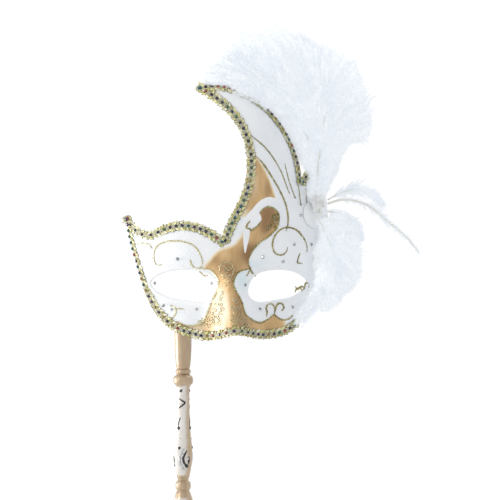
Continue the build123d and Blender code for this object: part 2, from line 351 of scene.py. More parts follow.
# ---- materials --------------------------------------------------------------------------------------
class Nodes:
    """Short ways to build a node tree. A value that is a socket is linked, and any other is set."""

    def __init__(self, tree, coordinates):
        self.nodes, self.links = tree.nodes, tree.links
        self.place = self.add("TexCoord").outputs[coordinates]

    def set(self, socket, value):
        if isinstance(value, bpy.types.NodeSocket):
            self.links.new(value, socket)
        else:
            socket.default_value = value

    def add(self, kind, inputs=(), **settings):
        """New node, with its inputs by name or number and its settings by name."""
        node = self.nodes.new(f"ShaderNode{kind}")
        for key, value in settings.items():
            setattr(node, key, value)
        for key, value in dict(inputs).items():
            self.set(node.inputs[key], value)
        return node

    def attribute(self, name):
        return self.add("Attribute", attribute_name=name).outputs["Fac"]

    def stretched(self, *scale):
        return self.add("Mapping", {"Vector": self.place, "Scale": scale}).outputs["Vector"]

    def noise(self, scale, detail=3.0, vector=None):
        inputs = {"Vector": vector or self.place, "Scale": scale, "Detail": detail}
        return self.add("TexNoise", inputs).outputs["Fac"]

    def cells(self, scale, output="Color"):
        return self.add("TexVoronoi", {"Vector": self.place, "Scale": scale}).outputs[output]

    def ramp(self, factor, *stops, steps=False):
        node = self.add("ValToRGB", {"Fac": factor})
        node.color_ramp.interpolation = "CONSTANT" if steps else "EASE"
        elements = node.color_ramp.elements
        while len(elements) < len(stops):
            elements.new(0.5)
        for element, (position, colour) in zip(elements, stops):
            element.position = position
            element.color = (*colour, 1)
        return node.outputs["Color"]

    def mix(self, factor, a, b):
        a, b = ((*value, 1) if isinstance(value, tuple) else value for value in (a, b))
        return self.add("Mix", {0: factor, 6: a, 7: b}, data_type="RGBA").outputs[2]

    def maths(self, operation, *values):
        return self.add("Math", enumerate(values), operation=operation).outputs[0]

    def between(self, value, low, high, to_low=0.0, to_high=1.0, curve="SMOOTHSTEP"):
        inputs = enumerate((value, low, high, to_low, to_high))
        return self.add("MapRange", inputs, interpolation_type=curve).outputs[0]


class Paint(Nodes):
    """A material round one Principled shader, textured in object coordinates."""

    def __init__(self, name, **sockets):
        self.material = bpy.data.materials.new(name)
        self.material.use_nodes = True
        super().__init__(self.material.node_tree, "Object")
        self.shader = self.nodes["Principled BSDF"]
        for key, value in sockets.items():
            self.to(key.replace("_", " "), value)

    def to(self, socket, value):
        self.set(self.shader.inputs[socket], value)

    def bump(self, height, depth_mm, strength):
        inputs = {"Height": height, "Distance": depth_mm * MM, "Strength": strength}
        self.to("Normal", self.add("Bump", inputs).outputs["Normal"])

    def done(self, colour, rough, height, depth_mm, strength):
        """The finished material. rough: lowest and highest roughness, then scale and detail of its noise."""
        low, high, *noise = rough
        self.to("Base Color", colour)
        self.to("Roughness", self.between(self.noise(*noise), 0.3, 0.7, low, high))
        self.bump(height, depth_mm, strength)
        return self.material


def painted_face():
    """White lacquer with satin gold, crisp at the drawn edges and airbrushed elsewhere."""
    p = Paint("painted_face", Specular_IOR_Level=0.4, Coat_Weight=0.12, Coat_Roughness=0.25)
    wobble = p.maths("MULTIPLY_ADD", p.noise(900), 0.5, -0.25)
    crisp = p.between(p.maths("ADD", p.attribute("crisp"), wobble), -0.14, 0.14)
    spray = p.maths("MULTIPLY_ADD", p.noise(160, 5), 0.3, -0.15)
    soft = p.between(p.maths("ADD", p.attribute("soft"), spray), 0.08, 0.9)
    gold = p.maths("MULTIPLY", crisp, soft)
    streaks = p.noise(220, 5, p.stretched(1, 1, 0.25))
    tone = p.ramp(streaks, (0.25, (0.57, 0.36, 0.16)), (0.55, (0.67, 0.44, 0.21)), (0.8, (0.77, 0.55, 0.30)))
    # Painted light and shade on the gold, with some airbrushed brown: dark brown where shade is above zero, a
    # cream painted highlight where it is below.
    shade = p.attribute("shade")
    tone = p.mix(p.between(shade, 0.05, 1.0, 0.0, 0.85), tone, (0.25, 0.125, 0.055))
    tone = p.mix(p.between(shade, -0.05, -0.9, 0.0, 0.95), tone, (0.95, 0.85, 0.67))
    white = p.ramp(p.noise(45, 4), (0.3, (0.86, 0.87, 0.885)), (0.7, (0.92, 0.92, 0.925)))
    # Painted shadow: blue-grey shade on the white round the right eye's socket.
    white = p.mix(p.between(p.attribute("socket_shadow"), 0.0, 1.0, 0.0, 0.9), white, (0.74, 0.85, 0.88))
    cream = p.mix(p.between(gold, 0.0, 0.55), white, (0.86, 0.70, 0.45))
    p.to("Metallic", p.between(gold, 0.3, 1.0, 0.0, 0.4))
    grain = p.maths("ADD", p.noise(500, 5), p.maths("MULTIPLY", p.noise(90, 3), 2.0))
    height = p.maths("ADD", grain, p.maths("MULTIPLY", gold, 0.35))
    return p.done(p.mix(p.between(gold, 0.35, 1.0), cream, tone), (0.36, 0.5, 350, 4), height, 0.12, 0.5)


def glitter(name, dark, pale):
    """Metal glitter set in glue: every flake has its own colour."""
    p = Paint(name, Metallic=0.75, Specular_IOR_Level=0.6)
    flake = p.ramp(
        p.attribute("tint"), (0.0, (0.62, 0.50, 0.20)), (0.22, (0.30, 0.25, 0.09)), (0.42, (0.80, 0.72, 0.42)),
        (0.6, (0.16, 0.14, 0.06)), (0.74, (0.52, 0.46, 0.16)), (0.9, (0.90, 0.88, 0.78)), steps=True)
    spot = p.cells(1400)
    flake = p.mix(p.between(spot, 0.2, 0.8, 0.0, dark), flake, (0.10, 0.09, 0.04))
    colour = p.mix(p.between(spot, 0.0, 0.5, 0.0, pale), flake, (0.88, 0.82, 0.58))
    return p.done(colour, (0.18, 0.5, 2500), p.cells(1800, "Distance"), 0.12, 0.6)


def braid_yarn():
    """Yellow-green metallic yarn."""
    p = Paint("braid_yarn", Metallic=0.3, Specular_IOR_Level=0.6)
    twist = p.add("TexWave", {"Vector": p.place, "Scale": 420, "Distortion": 3.0}).outputs["Fac"]
    thread = p.ramp(p.attribute("tint"), (0.0, (0.90, 0.86, 0.46)), (0.3, (0.66, 0.64, 0.24)),
                    (0.5, (0.95, 0.92, 0.68)), (0.82, (0.09, 0.08, 0.025)), steps=True)
    colour = p.mix(p.between(twist, 0.2, 0.9, 0.35, 0.0), thread, (0.22, 0.18, 0.05))
    return p.done(colour, (0.25, 0.5, 1500), twist, 0.15, 0.8)


def braid_cloth():
    """Woven foot of the braid."""
    p = Paint("braid_cloth", Metallic=0.15)
    weave = p.add("TexBrick", {"Vector": p.place, "Scale": 900}).outputs["Fac"]
    colour = p.ramp(p.noise(700), (0.3, (0.80, 0.77, 0.56)), (0.7, (0.94, 0.92, 0.78)))
    colour = p.mix(p.between(weave, 0, 1, 0.6, 0.0), colour, (0.12, 0.09, 0.03))
    return p.done(colour, (0.4, 0.65, 1200), weave, 0.1, 0.6)


BEAD_COLOURS = [(0.006, 0.018, 0.08), (0.006, 0.09, 0.12), (0.05, 0.015, 0.10), (0.30, 0.035, 0.02),
                (0.008, 0.02, 0.05), (0.02, 0.10, 0.05), (0.32, 0.20, 0.04), (0.015, 0.01, 0.04)]


def bead_glass():
    """Foil-backed faceted beads, every one its own dark jewel colour."""
    p = Paint("bead_glass", Metallic=0.3, Coat_Weight=0.35, Coat_Roughness=0.08, Specular_IOR_Level=0.5)
    stops = [(i / len(BEAD_COLOURS), c) for i, c in enumerate(BEAD_COLOURS)]
    jewel = p.ramp(p.attribute("tint"), *stops, steps=True)
    # Painted glint: pale lavender patches mixed into the jewel colour stand in for reflections.
    painted_glint = p.mix(p.between(p.noise(600, 1), 0.5, 0.8, 0.0, 0.35), jewel, (0.20, 0.18, 0.36))
    return p.done(painted_glint, (0.08, 0.25, 900), p.noise(1500), 0.03, 0.4)


def crystal(name, light, dark):
    """Foil-backed rhinestone; its light and dark cells are painted reflections of the facets."""
    p = Paint(name, Metallic=0.6, Coat_Weight=1.0, Coat_Roughness=0.03, Specular_IOR_Level=0.8)
    return p.done(p.ramp(p.cells(900), (0.2, dark), (0.8, light)), (0.05, 0.2, 1100), p.noise(900), 0.03, 0.3)


def feather_down():
    """White down that lets light through. Its emission stands for light scattered from barb to barb."""
    p = Paint("feather_down", Roughness=0.8, Specular_IOR_Level=0.2, Sheen_Weight=0.3, Sheen_Roughness=0.5,
              Emission_Color=(0.92, 0.96, 1.0, 1), Emission_Strength=0.52)
    colour = p.mix(p.between(p.noise(60, 3), 0.35, 0.7), (0.70, 0.71, 0.725), (0.73, 0.737, 0.745))
    p.to("Base Color", colour)
    p.bump(p.noise(3000, 2), 0.02, 0.3)
    glow = p.add("BsdfTranslucent", {"Color": colour})
    blend = p.add("MixShader", {0: 0.5, 1: p.shader.outputs[0], 2: glow.outputs[0]})
    p.set(p.nodes["Material Output"].inputs["Surface"], blend.outputs[0])
    return p.material


def handle_paint():
    """Gold-painted wood with ivory panels and grain; the panels show only on the stick's left, lit side, so they
    are partly a painted highlight.
    """
    p = Paint("handle_paint", Specular_IOR_Level=0.5, Coat_Weight=0.25, Coat_Roughness=0.2)
    grain = p.noise(160, 6, p.stretched(1, 1, 0.12))
    gold = p.ramp(grain, (0.25, (0.40, 0.28, 0.17)), (0.6, (0.55, 0.41, 0.27)), (0.85, (0.68, 0.54, 0.38)))
    split = p.add("SeparateXYZ", {0: p.place}).outputs
    bands = []
    for low, high in IVORY_PANELS:
        level = p.maths("ADD", split["Z"], p.maths("MULTIPLY_ADD", p.noise(250, 3), 0.004, -0.002))
        band = p.maths("MULTIPLY", p.between(level, low, low + 0.003), p.between(level, high, high - 0.003))
        bands.append(band)
    # Painted highlight: the ivory shows only left of the stick's axis, on the side the light comes from.
    swept = p.maths("ADD", split["X"], p.maths("MULTIPLY_ADD", p.noise(90, 2), 0.004, -0.002))
    lit_side_panels = p.maths("MULTIPLY", p.maths("MAXIMUM", *bands), p.between(swept, 0.0040, 0.0005, 0.0, 0.8))
    ivory = p.ramp(p.noise(90, 4), (0.3, (0.74, 0.71, 0.67)), (0.7, (0.84, 0.82, 0.79)))
    p.to("Metallic", p.between(lit_side_panels, 0, 1, 0.5, 0.0))
    return p.done(p.mix(lit_side_panels, gold, ivory), (0.28, 0.46, 300, 4), grain, 0.15, 0.5)


def mottled(name, colours, spots, rough, relief, depth_mm, strength, stretch=None, **sockets):
    """Material of two mixed colours. spots and relief: noise scale and detail of the colour and the bump."""
    p = Paint(name, **sockets)
    colour = p.ramp(p.noise(*spots), (0.3, colours[0]), (0.7, colours[1]))
    vector = p.stretched(1, 1, stretch) if stretch else None
    return p.done(colour, rough, p.noise(*relief, vector), depth_mm, strength)


def ink(name, colours, metallic):
    """Raised paint line."""
    return mottled(name, colours, (500, 3), (0.25, 0.45, 800), (1600, 3), 0.06, 0.5,
                   Metallic=metallic, Coat_Weight=0.3)


IVORY_PANELS = [(0.1345, 0.2035), (0.046, 0.1205)]        # heights on the stick, in metres

FACE_PAINT = painted_face()
GLITTER, GLITTER_PALE = glitter("glitter_gold", 0.55, 0.0), glitter("glitter_pale", 0.1, 0.5)
YARN, CLOTH, BEAD, DOWN = braid_yarn(), braid_cloth(), bead_glass(), feather_down()
QUILL = mottled("quill_horn", ((0.80, 0.77, 0.68), (0.90, 0.89, 0.84)), (200, 3), (0.3, 0.5, 400),
                (1500, 2), 0.04, 0.4, stretch=0.1, Specular_IOR_Level=0.5, Coat_Weight=0.2)


# ---- shell ------------------------------------------------------------------------------------------
# Outlines of the painted fields, as (x, z) points in front view. White lies inside, gold outside.
LEFT_FIELD = [(14.5, 290), (19, 289), (22.5, 285.5), (24.5, 281.5), (24.5, 277.5), (23, 272.5),
              (20.5, 267.5), (17.5, 260), (12.5, 250.5), (8, 248), (-0.5, 248.5), (-5, 251), (-60, 250),
              (-60, 300), (0, 296)]
RIGHT_PETAL = [(48, 290.5), (46, 289.5), (41.5, 288.5), (38, 286.5), (36, 283), (35, 278), (36.5, 274),
               (39, 269.5), (41, 265.5), (43.5, 257), (48.5, 252.5), (56, 250), (62, 252.5), (67, 256),
               (70.5, 252.8), (75, 251.5), (81.5, 254)]
LOBE = [(55.5, 331), (58, 334), (63, 336), (67, 334.5), (70.5, 330.5), (70.5, 325.5), (69.5, 321), (66, 317),
        (62, 313.5), (58, 311), (53, 307), (49.5, 302.5), (47, 297.5), (47, 293), (48, 290.5)]
LOBE_INNER = [(55.5, 331), (57, 328), (56.5, 325), (54.5, 322), (51, 319.5), (48.5, 318.5)]
SPIKE = [(48.5, 318.5), (47.5, 312.5), (46, 307), (44.2, 301), (43.2, 307), (43, 313), (43, 318)]
HOOK = [(43, 318), (44, 325), (47, 331), (50, 334), (53, 337.5), (57, 341), (63, 343.3), (70, 342)]
FIELD_EDGE = [(150, 342), (150, 262)]
SOFT_CREST = [(30, 386), (49.5, 379), (53.5, 374), (58.5, 367), (63, 359), (66, 351.5), (68.5, 344),
              (70, 336), (52, 331), (45, 328), (36, 329), (26, 322)]
SOFT_NOSE = [(44, 321), (40, 313), (36, 309), (30.5, 306), (25, 304.5), (20.5, 300.5), (17, 296),
             (13, 290.5), (9, 285), (8, 262), (1, 254), (-7, 250), (-9, 236), (40, 230), (82, 234),
             (76, 250), (74, 262), (60, 285), (75, 318), (78, 332), (66, 341), (56, 335), (50, 326)]
# Shading of the gold, partly airbrushed brown paint and partly painted light and shade: the lit left flanks of
# the nose and crest are painted lighter, their right flanks darker. (x, z, reach along x, reach along z,
# strength), dark above zero.
GOLD_PAINT_LIGHT_AND_SHADE = [(48, 301, 9, 9, 1.1), (62, 332, 8, 7, 0.8), (60, 321, 6, 8, 0.8), (30.4, 289.5, 8, 7, 0.8),
          (20, 297, 7, 5, 0.5), (38, 262, 4.5, 16, 0.75), (44, 250, 6, 7, 0.55), (62, 349, 5, 9, 0.6),
          (34, 281, 5, 7, 0.4), (25, 262, 7.5, 17, -0.95), (52, 352, 6, 14, -0.35), (40, 327, 9, 10, -0.9),
          (8, 245, 9, 6, -0.5), (64, 246, 7, 5, 0.4), (31, 309, 9, 6, -0.3)]
# Painted shadow of the same form: faint blue shade on the white round the right eye's socket and under the brow.
SOCKET_SHADOW_SPOTS = [(41.5, 281, 5, 8, 0.9), (50, 292.5, 9, 4, 0.6), (66, 296, 16, 4, 0.35), (46, 258, 8, 6, 0.3)]
LIP_FROM_EDGE = 1.5       # where the lip round an eye is highest
RIM_PROFILE = [(0.72, 0.12), (1.0, 0.5), (0.72, 0.88)]    # rounded rim: share of RIM_INSET, share of the wall


# Sum of soft oval spots; gives the painted light and shade of the gold and the painted socket shadow of the
# white.
def soft_spots(x, z, spots):
    return sum(s * np.exp(-((x - cx) / w) ** 2 - ((z - cz) / h) ** 2) for cx, cz, w, h, s in spots)


def smooth_closed(points):
    return resample(points, 1.0, closed=True)


def white_right():
    """Outline of the white field on the right half of the face."""
    drawn = [resample(part, 0.8) for part in (LOBE[::-1], LOBE_INNER, SPIKE, HOOK)]
    return np.concatenate([*drawn, FIELD_EDGE, resample(RIGHT_PETAL[::-1], 0.8)])


def outer_points():
    """The outer loop, resampled between its corners so that tips and notches stay sharp."""
    order = sorted(corner_index.values())
    parts = []
    for a, b in zip(order, [*order[1:], order[0] + len(OUTER)]):
        run = OUTER[[k % len(OUTER) for k in range(a, b + 1)]]
        parts.append(resample(run, MESH_STEP)[:-1])
    return np.concatenate(parts)


def winding(loop):
    """1 for a counter-clockwise loop and -1 for a clockwise one."""
    return np.sign(np.sum(loop[:, 0] * np.roll(loop[:, 1], -1) - loop[:, 1] * np.roll(loop[:, 0], -1)))


def inset(loop, hole):
    """Loop moved by RIM_INSET into the material, and the unit normals that point out of the material."""
    along = unit(np.roll(loop, -1, 0) - np.roll(loop, 1, 0))
    out = np.stack([along[:, 1], -along[:, 0]], -1) * winding(loop) * (-1 if hole else 1)
    return loop - out * RIM_INSET, out, hole


def lattice():
    """Rows of points in a triangle pattern over the whole front view."""
    low, high = OUTER.min(0), OUTER.max(0)
    rows = []
    for j, z in enumerate(np.arange(low[1], high[1], MESH_STEP * 0.866)):
        xs = np.arange(low[0] + (j % 2) * MESH_STEP / 2, high[0], MESH_STEP)
        rows.append(np.stack([xs, np.full_like(xs, z)], -1))
    return np.concatenate(rows)


def build_shell():
    rims = [inset(outer_points(), False)]
    rims += [inset(resample(eye, MESH_STEP, closed=True), True) for eye in EYES]
    firsts = np.cumsum([0, *(len(loop) for loop, _, _ in rims)])
    edges = [(first + k, first + (k + 1) % len(rim[0])) for first, rim in zip(firsts.tolist(), rims)
             for k in range(len(rim[0]))]

    def material(at):
        """Distance into the material, in front view."""
        return np.minimum.reduce([signed(at, loop) * (-1 if hole else 1) for loop, _, hole in rims])

    inner = lattice()
    inner = inner[material(inner) > MESH_STEP * 0.45]
    drawn = np.concatenate([*(loop for loop, _, _ in rims), inner])
    made, _, faces, origins, _, _ = delaunay_2d_cdt([Vector(p) for p in drawn], edges, [], 0, 1e-5)
    plan = np.array([tuple(v) for v in made])
    tri = np.array([f for f in faces if len(f) == 3])
    tri = tri[material(plan[tri].mean(1)) > 0]
    to_new = {source: new for new, sources in enumerate(origins) for source in sources}

    x, z = plan[:, 0], plan[:, 1]
    lips = [np.exp(-((distance(plan, eye) - LIP_FROM_EDGE) / LIP_WIDTH) ** 2) for eye in EYES]
    front = face.on(x, z, LIP_HEIGHT * np.maximum(*lips))
    back = np.stack([x, face.y(x, z) + SHELL * face.steepness(x, z), z], -1)

    crisp = np.minimum(-signed(plan, smooth_closed(LEFT_FIELD)), -signed(plan, white_right()))
    soft = np.maximum(rise(signed(plan, smooth_closed(SOFT_CREST)), -2.5, 4.5),
                      rise(signed(plan, smooth_closed(SOFT_NOSE)), -3.5, 6.0))

    a, b, c = plan[tri[:, 0]], plan[tri[:, 1]], plan[tri[:, 2]]
    turn = (b[:, 0] - a[:, 0]) * (c[:, 1] - a[:, 1]) - (b[:, 1] - a[:, 1]) * (c[:, 0] - a[:, 0])
    tri = np.where((turn > 0)[:, None], tri, tri[:, ::-1])
    soup = Soup()
    soup.add(front, tri)
    soup.add(back, tri[:, ::-1])
    crisp_all, soft_all = [crisp, np.full(len(plan), -3.0)], [soft, np.zeros(len(plan))]
    for first, (loop, out, hole) in zip(firsts, rims):
        n = len(loop)
        index = np.array([to_new[first + k] for k in range(n)])
        rings = []
        for reach, deep in RIM_PROFILE:
            ring = front[index] * (1 - deep) + back[index] * deep
            ring[:, [0, 2]] = loop + out * RIM_INSET * reach
            rings.append(ring)
        base = soup.count
        soup.add(np.concatenate(rings), np.empty((0, 4), int))
        crisp_all.append(np.tile(crisp[index], 3))
        soft_all.append(np.tile(soft[index], 3))
        ids = [index, *(base + r * n + np.arange(n) for r in range(3)), index + len(plan)]
        for upper, lower in zip(ids, ids[1:]):
            quad = np.stack([upper, lower, np.roll(lower, -1), np.roll(upper, -1)], -1)
            soup.faces.append(quad[:, ::-1] if (winding(loop) > 0) == hole else quad)
    x, _, z = np.concatenate(soup.points).T
    extra = {"crisp": np.clip(np.concatenate(crisp_all), -3, 3), "soft": np.concatenate(soft_all),
             "shade": soft_spots(x, z, GOLD_PAINT_LIGHT_AND_SHADE), "socket_shadow": soft_spots(x, z, SOCKET_SHADOW_SPOTS)}
    soup.piece("painted_shell", FACE_PAINT, "shell_white", ["mask_shell"], extra=extra)


build_shell()


# ---- braid and beads --------------------------------------------------------------------------------
BEND = 1.0                # radius of the braid's turn over the rim
FINE = 8                  # stations to a bead
CORDS = (2.4, 5.2)        # where the two twisted cords lie across the braid
LEAF_ROWS = [(-1, 1.3), (1, 6.3)]         # rows of leaves: the way they point, and the place across
SMALL_LEAF = 0.62         # size of every second leaf
RIBBON_PROFILE = [(1.9, 0.05), (2.1, 0.35), (3.0, 0.6), (3.8, 0.7), (4.6, 0.6), (5.5, 0.35), (5.7, 0.05)]
# How far a braid runs on past the notch at its start and at its end, under the next braid.
PAST_CORNER = {"brow": (0, 4.5), "crest_front": (4.5, 0), "crest_back": (0, 4), "rear_flame": (4, 0)}


def braid_stations(line, inward, spacing):
    """Outline points and inward directions in front view."""
    path = resample(line, spacing)
    along = unit(np.gradient(path, axis=0))
    return path, np.stack([-along[:, 1], along[:, 0]], -1) * inward


def on_braid(path, side, across, proud, tuck):
    """Points and outward directions at a place across the braid, whose first tuck mm turn over the rim."""
    run = across - np.broadcast_to(tuck, len(path))
    start = path + side * BEND * 0.3
    gx, gz = face.slopes(path[:, 0] + side[:, 0] * 3, path[:, 1] + side[:, 1] * 3)
    seen = np.maximum(run, 0) / np.sqrt(1 + (gx * side[:, 0] + gz * side[:, 1]) ** 2)
    at = start + side * seen[:, None]
    normal = face.normal(at[:, 0], at[:, 1])
    base, beyond = face.on(at[:, 0], at[:, 1]), at + side * 0.5
    outwards = unit(base - face.on(beyond[:, 0], beyond[:, 1]))
    past = np.maximum(-run, 0)
    theta = np.minimum(past / BEND, pi / 2)[:, None]
    straight = np.maximum(past - BEND * pi / 2, 0)[:, None]
    up = normal * np.cos(theta) + outwards * np.sin(theta)
    return base + up * (BEND + proud) - normal * (BEND + straight), up


def frames(path, side, across, proud, tuck):
    """Places on the braid with their along, inward and outward directions."""
    at, up = on_braid(path, side, across, proud, tuck)
    along = unit(np.gradient(at, axis=0))
    inwards = unit(np.cross(up, along))
    inwards *= np.sign((inwards[:, 0] * side[:, 0] + inwards[:, 2] * side[:, 1]).sum())
    return at, along, inwards, up


def leaf_edge(centre, along, inwards, up, long, wide, turn):
    """Closed leaf-shaped loop in the plane of the braid, pointed at one end and a little cupped."""
    t = np.arange(14) * tau / 14
    u = long * np.cos(t)
    v = wide * np.sin(t) * (1 - 0.45 * np.cos(t)) + 0.3 * wide * (u / long) ** 2
    x = u * cos(turn) - v * sin(turn)
    y = u * sin(turn) + v * cos(turn)
    return centre + x[:, None] * along + y[:, None] * inwards + (0.25 * (u / long) ** 2)[:, None] * up


def facet_bead(soup, at, along, inwards, up, long, wide, high, tint):
    """Cut oval bead: girdle, crown and table, each facet its own face."""
    angle = (np.arange(8) + 0.5) * tau / 8

    def ring(scale, level):
        sweep = long * np.cos(angle)[:, None] * along + wide * np.sin(angle)[:, None] * inwards
        return at + scale * sweep + level * up

    rings = [ring(0.8, -0.3), ring(1.0, 0.15 * high), ring(0.78, 0.7 * high), ring(0.42, high)]
    base = soup.count
    soup.add(np.concatenate(rings), grid_faces(4, 8, close_columns=True), tint)
    soup.faces.append((base + 24 + np.arange(8))[None, ::-1])
    soup.faces.append((base + np.arange(8))[None, :])


def lengthened(line, before, after):
    """Line run on straight past its two ends."""
    first, last = unit(line[0] - line[3]), unit(line[-1] - line[-4])
    return np.concatenate([[line[0] + first * before] if before else line[:0], line,
                           [line[-1] + last * after] if after else line[:0]])


def build_braid(name, start, end, inward, tucks):
    """tucks: how much of the width is turned over the rim, evenly spaced along the braid."""
    line = lengthened(stretch(start, end), *PAST_CORNER.get(name, (0, 0)))

    def tuck(n):
        return np.interp(np.linspace(0, 1, n), np.linspace(0, 1, len(tucks)), tucks)

    path, side = braid_stations(line, inward, 1.2)
    ribbon = Soup()
    rows = np.stack([on_braid(path, side, a, h, tuck(len(path)))[0] for a, h in RIBBON_PROFILE], 1)
    ribbon.add(rows, grid_faces(len(path), len(RIBBON_PROFILE)))
    ribbon.piece(f"braid_ribbon_{name}", CLOTH, "braid_gold", [f"braid_{name}"])

    length = gaps(line).sum()
    fine, fine_side = braid_stations(line, inward, length / max(4, int(round(length / BEAD_PITCH))) / FINE)
    over = tuck(len(fine))
    yarn, beads = Soup(), Soup()
    for across in CORDS:
        at, _, inn, up = frames(fine, fine_side, across, 0.5, over)
        phase = np.arange(len(at)) / FINE * tau
        for shift in (0.0, pi):
            across_it, above_it = 0.26 * np.sin(phase + shift)[:, None], 0.22 * np.cos(phase + shift)[:, None]
            twist = at + across_it * inn + above_it * up
            tube(yarn, twist, 0.2, 5, tint=rng.random(len(at)) * 0.95, up=up)
    at, alongs, inn, up = frames(fine, fine_side, BRAID_WIDTH / 2, 0.75, over)
    for k in range(FINE // 2, len(at), FINE):
        facet_bead(beads, at[k], alongs[k], inn[k], up[k], 1.35, 1.1, 1.0, rng.random())
    for pointing, across in LEAF_ROWS:
        at, alongs, inn, up = frames(fine, fine_side, across, 0.45, over)
        for k in range(FINE // 2, len(at), FINE // 2):
            turn = radians(30 + 10 * rng.random())
            size = (1.0 if k % FINE else SMALL_LEAF) * (1 + 0.08 * rng.standard_normal())
            shift = at[k] + alongs[k] * 0.3 * rng.standard_normal()
            leaf(yarn, shift, alongs[k], inn[k] * pointing, up[k], size, turn)
    yarn.piece(f"braid_leaves_{name}", YARN, "braid_gold")
    beads.piece(f"beads_{name}", BEAD, "sequin", [f"sequins_{name}"], smooth=False)


def leaf(yarn, centre, along, inwards, up, size, turn):
    """Pale metallic leaf with a dark thread round it."""
    edge = leaf_edge(centre, along, inwards, up, 1.95 * size, 0.9 * size, turn)
    pale = rng.random() * 0.8
    first = yarn.count
    inner = centre + (edge - centre) * 0.5 + up * 0.28
    yarn.add(np.concatenate([edge, inner, (centre + up * 0.34)[None]]), np.empty((0, 4), int), pale)
    n = len(edge)
    here = first + np.arange(n)
    after = np.roll(here, -1)
    yarn.faces.append(np.stack([here, after, after + n, here + n], -1))
    yarn.faces.append(np.stack([here + n, after + n, np.full(n, first + 2 * n)], -1))
    rim = 0.93 if rng.random() < 0.7 else 0.5
    tube(yarn, edge, 0.17, 4, tint=rim, up=np.broadcast_to(up, edge.shape), closed=True)


# Each braid's name, end corners, the side it lies on, and how much of its width turns over the rim.
BRAIDS = [("brow", "left_tip", "brow_notch", -1, [2.5, 0.9, 0.9, 0.9, 0.9]),
          ("crest_front", "brow_notch", "crest_tip", -1, [0.9, 0.9, 1.0, 1.4, 2.2]),
          ("crest_back", "crest_tip", "temple_notch", -1, [3.0, 3.2, 3.2, 2.8, 1.4]),
          ("rear_flame", "temple_notch", "rear_tip", -1, [0.9, 1.8, 2.6]),
          ("lower", "left_tip", "cheek", 1, [3.9, 4.1, 3.6, 2.0, 0.9, 0.9, 0.9, 0.9])]
for braid in BRAIDS:
    build_braid(*braid)


# ---- glitter scrollwork -----------------------------------------------------------------------------
def flakes(soup, points, up, size, spread):
    """Small tilted plates scattered round points."""
    n = len(points)
    at = points + rng.normal(0, spread, (n, 3))
    normal = unit(up + rng.normal(0, 0.45, (n, 3)))
    first = unit(np.cross(normal, rng.normal(0, 1, (n, 3))))
    second = np.cross(normal, first)
    r = size * (0.7 + 0.6 * rng.random(n))
    corners = [at + r[:, None] * (cos(a) * first + sin(a) * second) for a in np.arange(5) * tau / 5]
    block = np.stack([*corners, at + normal * (r * 0.45)[:, None]], 1)
    faces = np.array([[0, 1, 5], [1, 2, 5], [2, 3, 5], [3, 4, 5], [4, 0, 5], [2, 1, 0], [3, 2, 0], [4, 3, 0]])
    offsets = (np.arange(n) * 6)[:, None, None]
    soup.add(block, (faces[None] + offsets).reshape(-1, 3), np.repeat(rng.random(n), 6))


def stroke(soup, points, width, ends=0.35, grain=2.6, dot=False):
    """Raised glitter line over the face, thinner towards its ends; grain is its flakes to a millimetre."""
    path = resample(points, 0.55)
    t = np.linspace(0, 1, len(path))
    radius = width / 2 * (ends + (1 - ends) * np.clip(np.minimum(t, 1 - t) * 6, 0, 1))
    radius = radius * (1 + 0.14 * rng.standard_normal(len(path)))
    at = face.on(path[:, 0], path[:, 1], 0.08)
    up = face.normal(path[:, 0], path[:, 1])
    tube(soup, at, radius, 7, tint=rng.random(len(path)) * 0.9, squash=0.6, up=up)
    n = max(3, int(gaps(path).sum() * grain))
    pick = rng.random(n) * (len(path) - 1)
    i = pick.astype(int)
    f = (pick - i)[:, None]
    centre = at[i] * (1 - f) + at[np.minimum(i + 1, len(at) - 1)] * f + up[i] * 0.26
    flakes(soup, centre, up[i], 0.3, width * 0.2)
    if dot:
        end = face.on(path[-1:, 0], path[-1:, 1], 0.1)
        flakes(soup, np.repeat(end, 8, 0), np.repeat(up[-1:], 8, 0), 0.4, 0.32)


LINE_B = [(52.5, 374), (55.5, 371.5), (61.5, 364), (66, 357.5), (72.5, 347), (76.5, 337.5), (78, 329),
          (77.5, 321.5), (76.3, 318)]
LINE_A = [(48.5, 390), (61, 379.5), (72.5, 364), (80, 346)]
CREST_LINES = [(LINE_B, 1.3), (LINE_A, 0.9), ([(76.5, 369), (80, 356), (84.5, 343)], 0.8),
               ([(88, 355), (88.6, 346), (89, 338)], 0.8), ([(94.5, 360), (94.6, 348), (94.5, 335.5)], 0.7),
               ([(102.5, 359), (102.2, 353), (102, 347.5)], 0.6)]
RIGHT_LINES = [
    (LOBE, 1.2), (LOBE_INNER[2:] + [(48.5, 318.8), (45.5, 320.5), (46.5, 323), (48.2, 325.5)], 1.2),
    (RIGHT_PETAL[:14], 1.25), ([(47.5, 292), (49.5, 287.5), (53, 284)], 1.2),
    ([(48, 290.5), (47, 287), (45.3, 284.5)], 1.1),
    ([(77.5, 306), (76, 302), (71, 300), (67, 302), (65.5, 306), (66, 311), (69, 316.5), (74, 320),
      (79.5, 320.5), (84.5, 319), (88.5, 315.5), (92, 311), (93.7, 305), (93.5, 302)], 1.15),
    ([(87.5, 301.5), (86.2, 298), (85.5, 294.5), (89.5, 293.8)], 1.0),
    ([(67, 256), (67.6, 260), (65.5, 263.5), (62.3, 263.5), (60.8, 260.5), (61.3, 257.3), (60.6, 254.5)], 1.2),
    ([(67, 256), (68.4, 261), (71, 264), (74, 263), (74.5, 260), (72.5, 258.5)], 1.2),
    ([(67, 256), (70.5, 252.8), (75, 251.7), (79, 252.8), (81.8, 255)], 1.1),
    ([(84, 271.5), (85.5, 274.5), (88, 275.5), (90.5, 273), (92, 276), (93, 279), (95, 278.5), (95.2, 275)], 1.2),
    ([(84.3, 276.5), (86.5, 274.5), (89, 276.3), (92.2, 275.6)], 1.3),
]
